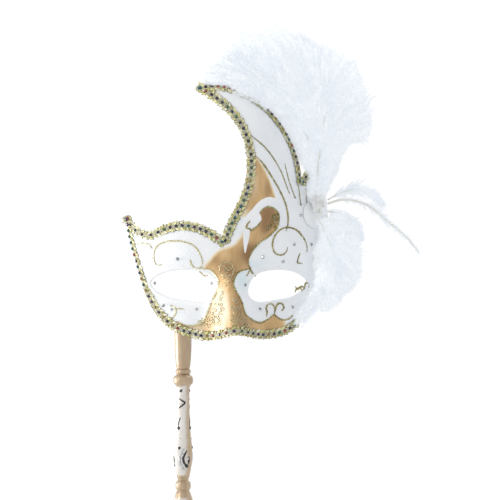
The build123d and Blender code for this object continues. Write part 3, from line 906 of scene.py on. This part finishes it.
LEFT_LINES = [
    (LEFT_FIELD[:12], 1.4),
    ([(-16, 293.5), (-18.5, 292.3), (-21, 294), (-21.8, 298), (-21.5, 303), (-18.5, 307.6), (-14.5, 309.6),
      (-10, 310.4), (-1, 310), (6.5, 307), (11.5, 300), (13, 294.5), (12, 290.5)], 1.0),
    ([(4, 297.5), (5, 293.5), (7.5, 290.7), (12, 290.4), (14.5, 290)], 1.1),
    ([(9.5, 290.2), (12, 287), (15.5, 284.6), (17, 285)], 0.9),
    ([(-35, 308), (-29, 308.8), (-25.5, 308), (-22.8, 304.5)], 0.9),
    ([(-19, 256.5), (-16, 253.3), (-12, 252.2), (-8, 254), (-6, 258), (-7, 261.5), (-10, 262.5)], 1.0),
    ([(-6.3, 259.8), (-3, 260.3), (-0.3, 259.8)], 0.7),
    ([(-28, 274.5), (-24.5, 272.5), (-21.5, 268.5)], 0.7),
]


def spiral(centre, radius, turns, start, mirror=1, count=14):
    t = np.linspace(0, 1, count)
    r = radius * (1 - 0.82 * t)
    a = start + mirror * tau * turns * t
    return np.stack([centre[0] + r * np.cos(a), centre[1] + r * np.sin(a)], -1)


LINE_SCALE = 1.2          # lines are this much wider than drawn
ROSE, ROSE_RADIUS = (30.4, 289.5), 5.2    # filigree ring between the eyes
LOBE_GLITTER = [(60, 318), (64, 319), (69.5, 321.5), (70.5, 326), (70.3, 330.5), (66, 331), (64, 325)]
# The filigree beside the ridge of the nose.
FLANKS = [[(8, 249), (24, 248), (27, 262), (26.5, 273), (23.5, 268), (19, 259)],
          [(33.5, 247), (46, 247.5), (42.5, 254), (39.5, 264), (36, 271), (34, 266)]]


def build_scrolls():
    for name, lines in (("crest", CREST_LINES), ("right", RIGHT_LINES), ("left", LEFT_LINES)):
        soup = Soup()
        for points, width in lines:
            stroke(soup, points, width * LINE_SCALE, dot=name == "crest" and width < 0.9)
        if name == "right":
            lobe = smooth_closed(LOBE_GLITTER)
            spots = lobe.min(0) + rng.random((700, 2)) * np.ptp(lobe, axis=0)
            spots = spots[signed(spots, lobe) > 0]
            flakes(soup, face.on(*spots.T, 0.1), face.normal(*spots.T), 0.3, 0.05)
        soup.piece(f"scrollwork_{name}", GLITTER_PALE if name == "left" else GLITTER, "braid_gold")



def build_filigree():
    """Scalloped ring with three spirals, four rows under it, and spirals on the flanks of the nose."""
    soup = Soup()
    cx, cz = ROSE
    a = np.linspace(0, tau, 46)
    r = ROSE_RADIUS + 0.45 * np.cos(9 * a)
    stroke(soup, np.stack([cx + r * np.cos(a), cz + r * np.sin(a)], -1), 0.7, 1.0, 1.5)
    for start in np.arange(3) * tau / 3 + 0.4:
        hub = (cx + 2.2 * cos(start), cz + 2.2 * sin(start))
        stroke(soup, spiral(hub, 2.0, 1.1, start + 2.2), 0.6, 0.5, 1.5)
    for row, z in enumerate((283.2, 281.2, 279.2, 277.4)):
        half = 3.6 - 0.8 * row
        scallop = zip((-half, -half / 2, 0, half / 2, half), (0.9, -0.3, 0.7, -0.3, 0.9))
        stroke(soup, [(cx + across, z + rise_by) for across, rise_by in scallop], 0.5, 0.6, 1.2)
    for flank in FLANKS:
        field = smooth_closed(flank)
        low, high = field.min(0), field.max(0)
        hubs = []
        for _ in range(400):
            hub = low + rng.random(2) * (high - low)
            if signed(hub[None], field)[0] > 0.4 and all(np.hypot(*(hub - h)) > 2.5 for h in hubs):
                hubs.append(hub)
        for hub in hubs:
            stroke(soup, spiral(hub, 1.75, 1.0 + 0.5 * rng.random(), rng.random() * tau,
                                1 if rng.random() < 0.5 else -1, 12), 0.6, 0.5, 1.6)
    soup.piece("filigree_nose", GLITTER_PALE, "braid_gold")


build_scrolls()
build_filigree()


# ---- feathers ---------------------------------------------------------------------------------------
class Field:
    """Distance to a closed front-view outline, positive inside it, kept on a grid."""

    STEP = 1.5

    def __init__(self, polygon, margin=45):
        polygon = np.asarray(polygon, float)
        self.low = polygon.min(0) - margin
        nx, nz = (np.ptp(polygon, axis=0) + 2 * margin) // self.STEP + 2
        xs, zs = self.low[0] + np.arange(nx) * self.STEP, self.low[1] + np.arange(nz) * self.STEP
        at = np.stack(np.meshgrid(xs, zs), -1).reshape(-1, 2)
        self.grid = signed(at, polygon).reshape(len(zs), len(xs))

    def __call__(self, x, z):
        u = np.clip((x - self.low[0]) / self.STEP, 0, self.grid.shape[1] - 1.001)
        v = np.clip((z - self.low[1]) / self.STEP, 0, self.grid.shape[0] - 1.001)
        i, j = u.astype(int), v.astype(int)
        a, b = u - i, v - j
        below, above = ((1 - a) * self.grid[k, i] + a * self.grid[k, i + 1] for k in (j, j + 1))
        return (1 - b) * below + b * above


# How far the down reaches in front view: the upper spray and the cluster over the cheek.
SPRAY = [(15, 430), (20, 436), (25, 446), (31, 457), (37, 464), (45, 468), (55, 469), (63, 470), (72, 471),
         (81, 469), (87, 464), (92, 459.5), (100, 459), (111, 456), (122, 450), (130, 443), (136, 434),
         (141, 425), (144, 417), (145, 407), (144.5, 397), (142, 387), (139.5, 381), (135, 387), (128, 385),
         (123, 379), (117, 369), (114, 362), (112, 352), (107, 342), (98, 338), (92, 352), (72, 384),
         (44, 408), (20, 421)]
CLUSTER = [(119, 328), (126, 329), (134, 327), (136.5, 322), (132.5, 315), (136, 309), (138, 302),
           (135.5, 296), (136.5, 288), (133.5, 280), (129, 272.5), (119, 268), (116.5, 260), (110, 257.5),
           (98, 257.5), (94, 252.5), (87, 246), (84, 250), (93, 266), (99, 281), (98.5, 302), (104, 317),
           (99, 334), (110, 338)]
SHEAR = 0.1045            # the outlines are drawn as seen from six degrees to the left
SHELL_FIELD = Field(OUTER)
SPRAY_FIELD, CLUSTER_FIELD = Field(smooth_closed(SPRAY)), Field(smooth_closed(CLUSTER))
TEMPLE = OUTER[corner_index["temple_notch"]]
BELOW_CREST = [(91, 340), (-20, 340), (-20, 424)]
CREST_FIELD = Field(np.concatenate([stretch("crest_tip", "temple_notch"), BELOW_CREST]))
NEAREST, DEEPEST, EASE = -40.0, 54.0, 14.0        # barbs end within EASE of this range of depth


def kept_shallow(points):
    """Points outside the range of depth drawn in, never more than EASE outside it."""
    past = points[..., 1] - np.clip(points[..., 1], NEAREST, DEEPEST)
    points[..., 1] += EASE * np.tanh(past / EASE) - past
    return points


def kept_off_shell(points):
    """Points moved to 2 mm in front of the shell where they lie over it, and freer the farther off it."""
    x, y, z = points[..., 0], points[..., 1], points[..., 2]
    front = face.y(x, z) - 2.0 * face.steepness(x, z) + np.maximum(0, -SHELL_FIELD(x, z))
    points[..., 1] = np.minimum(y, front)
    return points


def vary(n, amount):
    """Random factors round one."""
    return 1 + amount * rng.standard_normal(n)


def feather(name, node, route, reach, lean, count, barbule, curl=0.5, droop=0.4, fluff=0.35, flat=0.6,
            start=0.12, segments=40, quill=1.05, thin=0.82, field=None, veil=0.0):
    """One feather: a tapering quill and soft barbs on both sides, each a fringe of fine barbules.

    reach: barb length along the vane, evenly spaced; lean: angle from the quill at the foot and at the tip;
    curl: how far barbs roll over; droop: how far they hang; fluff: how far they stray out of the vane;
    flat: depth of the vane against its width; start: where the barbs begin, as a share of the quill;
    field: the outline that barbs end at; veil: how far barbs may hang over the front of the crest.
    """
    shaft = resample(np.array(route, float), 1.0)
    n = len(shaft)
    stem = Soup()
    tube(stem, shaft, quill * (1 - thin * np.linspace(0, 1, n)), 6)
    stem.piece(f"{name}_quill", QUILL, "feather_white")

    along = unit(np.gradient(shaft, axis=0))
    side = unit(np.cross(along, [0.0, -1.0, 0.0]))
    normal = np.cross(side, along)
    s = start + (1 - start) * np.sort(rng.random(count)) ** 0.85
    k = s * (n - 1)
    i = np.minimum(k.astype(int), n - 2)
    f = (k - i)[:, None]

    def at(values):
        return values[i] * (1 - f) + values[i + 1] * f

    foot, fwd, out, nrm = at(shaft), unit(at(along)), unit(at(side)), unit(at(normal))
    length = np.interp(s, np.linspace(start, 1, len(reach)), reach) * np.clip(vary(count, 0.16), 0.5, 1.3)
    angle = np.radians(np.interp(s, [start, 1], lean)) + 0.2 * rng.standard_normal(count)
    around = rng.random(count) * tau
    width, depth = np.cos(around), flat * np.sin(around)
    width = np.sign(width) * np.abs(width) ** 0.6
    lift = depth + fluff * rng.standard_normal(count)
    heading = unit(np.cos(angle)[:, None] * fwd
                   + np.sin(angle)[:, None] * (width[:, None] * out + lift[:, None] * nrm))

    u = np.linspace(0, 1, segments + 1)[:, None]
    bend = curl * vary(count, 0.5)[None] * u ** 1.5
    hang = droop * vary(count, 0.4)[None] * u ** 1.7
    ripple = 0.22 * np.sin(u * 8 + rng.random(count)[None] * tau) * u
    sway = 0.22 * np.sin(u * 6 + rng.random(count)[None] * tau) * u
    roll = fwd * 0.5 + np.sign(lift)[:, None] * nrm * 0.5
    direction = unit(heading[None] + bend[..., None] * roll[None] + ripple[..., None] * nrm[None]
                     + sway[..., None] * fwd[None] + hang[..., None] * np.array([0.0, 0.0, -1.0]))
    step = (length / segments)[None, :, None]
    spine = foot[None] + np.concatenate([np.zeros((1, count, 3)), np.cumsum(direction[:-1] * step, 0)])

    if field is not None:
        inner = field(spine[..., 0] - SHEAR * (spine[..., 1] - 10), spine[..., 2])
        beyond = inner < 1.6 + 1.2 * rng.standard_normal(count)
        past = spine[..., 1] - np.clip(spine[..., 1], NEAREST, DEEPEST)
        beyond |= abs(past) > EASE * rng.random(count)
        if veil:
            over = CREST_FIELD(spine[..., 0], spine[..., 2])
            beyond |= over > np.where(abs(spine[..., 0] - 50) < 14, 0.5 + veil * rng.random(count) ** 2, -1.0)
            beyond |= np.hypot(spine[..., 0] - TEMPLE[0], spine[..., 2] - TEMPLE[1]) < 7 + rng.random(count)
        first = np.where(beyond.any(0), np.argmax(beyond, 0), segments)
        spine = foot[None] + (spine - foot[None]) * np.clip(first / segments, 0.15, 1)[None, :, None]
    spine = kept_off_shell(kept_shallow(spine))
    direction = unit(np.gradient(spine, axis=0) + 1e-9)

    across0 = unit(np.cross(direction, nrm[None] + 0.01))
    across1 = np.cross(direction, across0)
    turn = (around[None] + u * 2.5 * rng.standard_normal(count)[None]) * min(1.0, fluff * 4)
    across = np.cos(turn)[..., None] * across0 + np.sin(turn)[..., None] * across1
    taper = np.clip(np.sin(np.pi * np.clip(u * 0.86 + 0.1, 0, 1)) ** 0.5, 0.15, 1)
    long = barbule * taper * (0.7 + 0.6 * rng.random((segments + 1, count)))
    mid = (spine[:-1] + spine[1:]) / 2
    ahead = direction[:-1] * (long[:-1] * 0.7)[..., None]
    stray = (rng.standard_normal((segments, count)) * long[:-1] * 0.3)[..., None] * np.cross(
        direction[:-1], across[:-1])
    spread = across[:-1] * long[:-1][..., None] * 0.8
    left, right = (kept_off_shell(kept_shallow(mid + ahead + sign * (spread + stray))) for sign in (1, -1))

    spine_ids = np.arange((segments + 1) * count).reshape(segments + 1, count)
    left_ids = spine_ids.size + np.arange(segments * count).reshape(segments, count)
    tri_left = np.stack([spine_ids[:-1], spine_ids[1:], left_ids], -1)
    tri_right = np.stack([spine_ids[1:], spine_ids[:-1], left_ids + left_ids.size], -1)
    down = Soup()
    down.add(np.concatenate([spine.reshape(-1, 3), left.reshape(-1, 3), right.reshape(-1, 3)]),
             np.concatenate([tri_left.reshape(-1, 3), tri_right.reshape(-1, 3)]))
    down.piece(f"{name}_down", DOWN, "feather_white", [node])


ROOT = (103.0, 8.0)       # the bundle of quills on the right temple
QUILL_PITCH = 1.6


def stem(corner_x, corner_y, route):
    """Route of a quill that starts at one corner of the bundle."""
    x, y = ROOT[0] + corner_x * QUILL_PITCH, ROOT[1] + corner_y * QUILL_PITCH
    return [(x, y, 332), (x, y, 345), *route]


feather("ostrich_left", "plume_left",
        stem(-1, 1, [(100, 10, 366), (97, 10, 382), (81, 8.5, 412), (58, 13, 437), (40, 17, 443),
                     (24, 18, 436)]),
        [20, 34, 46, 54, 56, 50], (75, 48), 860, 3.4, droop=0.0, start=0.22, field=SPRAY_FIELD, veil=6.0)
feather("ostrich_upright", "plume_upright",
        stem(-1, -1, [(102, 3, 366), (106, 1, 395), (106, 0, 425), (99, 3, 452), (87, 6, 462)]),
        [18, 32, 46, 54, 56, 50], (72, 46), 800, 3.4, droop=0.05, start=0.0, field=SPRAY_FIELD, veil=4.0)
feather("ostrich_right", "plume_right",
        stem(1, -1, [(107, 8, 356), (114, 15, 372), (123, 27, 397), (130, 31, 418), (133, 31, 434),
                     (131, 30, 445)]),
        [16, 26, 38, 42, 44, 40], (72, 48), 700, 3.4, droop=0.6, start=0.08, field=SPRAY_FIELD, veil=2.0)
feather("ostrich_back", "plume_back",
        stem(1, 1, [(109, 15, 354), (117, 30, 365), (122, 51, 390), (118, 56, 418), (110, 55, 442),
                    (102, 52, 457)]),
        [14, 26, 38, 44, 44, 40], (72, 48), 640, 3.4, droop=0.2, start=0.1, field=SPRAY_FIELD, veil=2.0)

SHORTS = {
    "front": [(101, 2, 329), (106, -3, 319), (111, -6, 306), (115, -6, 295), (117, -5, 287)],
    "upper": [(109, 4, 333), (117, 5, 332), (126, 8, 328), (133, 11, 320), (136, 12, 312)],
    "outer": [(110, 17, 330), (121, 25, 319), (130, 27, 307), (135, 28, 294), (136, 28, 284)],
    "lower": [(108, 12, 326), (116, 14, 308), (121, 16, 290), (121, 16, 276), (119, 14, 266)],
    "cheek": [(105, 5, 322), (109, 4, 300), (106, 0, 280), (99, -6, 263), (90, -11, 252)],
}
for key, route in SHORTS.items():
    feather(f"curl_{key}", f"short_feather_{key}", route, [12, 20, 25, 25, 20], (74, 50), 400, 2.6, droop=0.1,
            flat=0.5, start=0.05, segments=24, quill=0.7, field=CLUSTER_FIELD)

feather("stripped", "stripped_feather",
        [(110, 6, 339), (122, 11, 342), (140, 13, 338.5), (156, 11, 326), (171, 8, 313), (179, 6, 303)],
        [4, 7, 8, 6, 4.5, 3], (34, 16), 300, 1.2, curl=0.1, droop=0.3, fluff=0.08, flat=0.15, segments=14,
        quill=1.0, thin=0.45)
feather("blade", "blade_feather",
        [(111, 12, 342), (121, 19, 347), (134, 21, 350), (146, 21, 346), (152, 20, 341)],
        [5, 9, 11, 9, 6], (30, 14), 420, 1.5, curl=0.1, droop=0.2, fluff=0.08, flat=0.2, segments=18,
        quill=0.7)


# ---- thread, stick and the carried-over solids --------------------------------------------------------
def build_binding():
    low, high = (np.array(corner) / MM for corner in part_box("feather_binding"))
    centre, radius = (low + high) / 2, (high[0] - low[0]) / 2
    soup = Soup()
    turns = 13
    t = np.linspace(0, 1, turns * 28)
    for layer, shrink in ((0, 0.35), (1, 0.75)):
        wave = 0.25 * np.sin(t * 47 + layer * 2)
        angle = tau * turns * t * (1 if layer == 0 else -0.8)
        r = radius - shrink + 0.08 * np.sin(t * 90)
        z = low[2] + 0.4 + (high[2] - low[2] - 0.8) * t + wave
        path = np.stack([centre[0] + r * np.cos(angle), centre[1] + r * np.sin(angle), z], -1)
        tube(soup, path, 0.4, 6, up=np.broadcast_to([0.0, 0.0, 1.0], path.shape))
    thread = mottled("thread", ((0.76, 0.75, 0.72), (0.92, 0.91, 0.89)), (1200, 3), (0.55, 0.8, 900),
                     (2500, 2), 0.1, 0.6, stretch=3, Sheen_Weight=0.3, Specular_IOR_Level=0.3)
    soup.piece("thread_winding", thread, "thread", ["feather_binding"])


build_binding()


def assign(node, material):
    slots = NODES[node].material_slots
    if not slots:
        NODES[node].data.materials.append(material)
    for index in range(len(slots)):
        slots[index].material = material


assign("handle", handle_paint())
assign("handle_glue", mottled("hot_glue", ((0.80, 0.76, 0.62), (0.88, 0.86, 0.77)), (120, 2), (0.22, 0.4, 200),
                              (140, 2), 0.5, 0.5, Specular_IOR_Level=0.5, Subsurface_Weight=0.2,
                              Subsurface_Scale=0.002))
assign("feather_backing", mottled("felt", ((0.88, 0.88, 0.88), (0.96, 0.96, 0.96)), (900, 5), (0.8, 1.0, 500),
                                  (1500, 6), 0.3, 0.8, Sheen_Weight=0.5, Specular_IOR_Level=0.2))
assign("rhinestones_face", crystal("rhinestone", (0.75, 0.76, 0.78), (0.10, 0.10, 0.12)))
assign("handle_stones", crystal("handle_crystal", (0.88, 0.88, 0.86), (0.35, 0.34, 0.33)))

handle_co, _, _ = node_mesh("handle")
STICK_RADIUS = 6.0        # mean radius, for evenly spaced points round the stick


def stick_radius(z):
    """Radius of the turned stick at height z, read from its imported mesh."""
    radii = np.hypot(handle_co[:, 0], handle_co[:, 1])
    order = np.argsort(handle_co[:, 2])
    levels, radii = handle_co[order, 2], radii[order]
    keep = radii > 1.0
    return np.interp(z, levels[keep], radii[keep])


def on_stick(turn, z, proud=0.0):
    r = stick_radius(z) + proud
    return np.stack([r * np.sin(turn), -r * np.cos(turn), np.asarray(z, float)], -1)


def brush(soup, points, width):
    """Raised brush stroke on the stick through (turn in degrees, height) points."""
    path = resample([(radians(a) * STICK_RADIUS, z) for a, z in points], 0.5)
    turn, z = path[:, 0] / STICK_RADIUS, path[:, 1]
    at = on_stick(turn, z, 0.02)
    up = unit(at * [1, 1, 0])
    swell = np.sin(pi * np.clip(np.linspace(0, 1, len(path)), 0.02, 0.98)) ** 0.6
    tube(soup, at, width / 2 * (0.25 + 0.75 * swell), squash=0.45, up=up)


BLACK_STROKES = [
    ([(-32, 199.6), (-25, 198.8), (-18, 198.2)], 2.3),
    ([(-54, 193.2), (-10, 191.3), (12, 190), (-8, 188.3), (-59, 185.4)], 1.1),
    ([(-28, 179), (-42, 176.5), (-51, 173.5), (-48, 171)], 1.0), ([(-48, 172.3), (-46, 170.9),
     (-42, 169.8)], 2.4),
    ([(-36, 157), (-30, 156.3), (-24, 155.7)], 2.3),
    ([(20, 154.6), (10, 152.5), (-4, 148.5), (4, 145), (20, 143), (34, 142.4)], 1.5),
    ([(12, 144.2), (22, 142.8), (33, 143.5)], 2.3),
    ([(-88, 150), (-84, 147.5), (-87, 144.5)], 1.7),
]
SILVER_STROKES = [([(2, 156), (-14, 153.5), (-27, 149), (-22, 144), (-6, 141.2), (12, 139.3)], 1.5),
                  ([(-8, 153), (-2, 150), (-12, 146.5)], 0.9), ([(-34, 163.4), (-30, 162.8), (-27, 162.5)],
                  1.7)]
GRIP_DROP = 46            # the same motif, repeated this much lower on the grip
UPPER_MOTIF = 165         # strokes below this height are repeated
BOLD = 1.2                # strokes on the vase are this much wider than drawn


def paint_round(strokes, name, material):
    """The motif at three places round the stick, on the vase and again on the grip."""
    soup = Soup()
    for points, width in strokes:
        for turn in (0, 120, 240):
            brush(soup, [(a + turn, z) for a, z in points], width * BOLD)
            if points[0][1] < UPPER_MOTIF:
                brush(soup, [(a + turn - 60, z - GRIP_DROP) for a, z in points], width)
                brush(soup, [(a + turn, z - 2 * GRIP_DROP + 12) for a, z in points], width)
    soup.piece(name, material, "handle_gold")


BLACK = ink("ink_black", ((0.010, 0.010, 0.014), (0.03, 0.03, 0.04)), 0.1)
paint_round(BLACK_STROKES, "handle_brushwork", BLACK)
SILVER = ink("ink_silver", ((0.42, 0.43, 0.45), (0.72, 0.73, 0.76)), 0.8)
paint_round(SILVER_STROKES, "handle_silver", SILVER)


# ---- stage, lights and camera -------------------------------------------------------------------------
def build_stage():
    radius, rings, spokes = 0.85, 6, 64
    angle = np.arange(spokes) * tau / spokes
    r = radius * np.linspace(0.02, 1, rings)[:, None]
    points = np.stack([r * np.cos(angle), r * np.sin(angle), np.zeros((rings, spokes))], -1).reshape(-1, 3)
    mesh = bpy.data.meshes.new("floor")
    faces = [tuple(int(i) for i in f) for f in grid_faces(rings, spokes, close_columns=True)]
    faces.append(tuple(range(spokes)))
    mesh.from_pydata([tuple(p) for p in points], [], faces)
    floor = bpy.data.objects.new("floor", mesh)
    bpy.context.scene.collection.objects.link(floor)
    p = Paint("floor", Roughness=0.8)
    p.to("Base Color", p.ramp(p.noise(3, 2), (0.3, (0.86, 0.86, 0.86)), (0.7, (0.88, 0.88, 0.88))))
    mesh.materials.append(p.material)


def area_light(name, place, aim, size, power, colour=(1, 1, 1)):
    light = bpy.data.lights.new(name, "AREA")
    light.shape, light.size, light.energy, light.color = "DISK", size, power, colour
    obj = bpy.data.objects.new(name, light)
    obj.location = place
    obj.rotation_mode = "QUATERNION"
    obj.rotation_quaternion = (Vector(aim) - Vector(place)).to_track_quat("-Z", "Y")
    bpy.context.scene.collection.objects.link(obj)


LIT_ACROSS, LIT_DEEP = (0.68, 0.66), (0.12, 0.30)         # sky light from left to right, and front to back


def build_light():
    """A pale sky, white where the camera sees it, and three soft lamps."""
    world = bpy.data.worlds.new("studio")
    bpy.context.scene.world = world
    world.use_nodes = True
    sky = Nodes(world.node_tree, "Generated")
    split = sky.add("SeparateXYZ", {0: sky.place}).outputs
    across = sky.between(split["X"], -0.9, 0.9, *LIT_ACROSS, curve="LINEAR")
    deep = sky.between(split["Y"], -0.9, 0.9, *LIT_DEEP, curve="LINEAR")
    lit = sky.add("Background", {"Color": (0.95, 0.975, 1.0, 1), "Strength": sky.maths("ADD", across, deep)})
    seen = sky.nodes["Background"]
    seen.inputs["Color"].default_value, seen.inputs["Strength"].default_value = (1, 1, 1, 1), 1.05
    ray = sky.add("LightPath").outputs["Is Camera Ray"]
    mix = sky.add("MixShader", {0: ray, 1: lit.outputs[0], 2: seen.outputs[0]})
    sky.set(sky.nodes["World Output"].inputs["Surface"], mix.outputs[0])
    middle = (0.05, 0.0, 0.33)
    area_light("key", (-1.30, -0.60, 0.75), middle, 0.6, 4.5, (1.0, 0.98, 0.95))
    area_light("side", (-1.25, 0.40, 0.12), (0.0, 0.0, 0.18), 0.4, 9, (1.0, 0.98, 0.94))
    area_light("top", (0.3, 0.4, 1.3), middle, 0.8, 3)


def build_camera():
    """Long lens, turned six degrees to the mask's own right."""
    data = bpy.data.cameras.new("camera")
    data.sensor_width, data.lens = 36, 150
    camera = bpy.data.objects.new("camera", data)
    bpy.context.scene.collection.objects.link(camera)
    aim, away, turn = Vector((0.0502, 0.0, 0.3038)), 1.5625, radians(-6)
    back = Vector((sin(turn), -cos(turn), 0.0))
    camera.location = aim + back * away
    camera.rotation_mode = "QUATERNION"
    camera.rotation_quaternion = (-back).to_track_quat("-Z", "Y")
    data.clip_start, data.clip_end = 0.05, 50
    bpy.context.scene.camera = camera


build_stage()
build_light()
build_camera()
bpy.context.scene.view_settings.view_transform = "Standard"
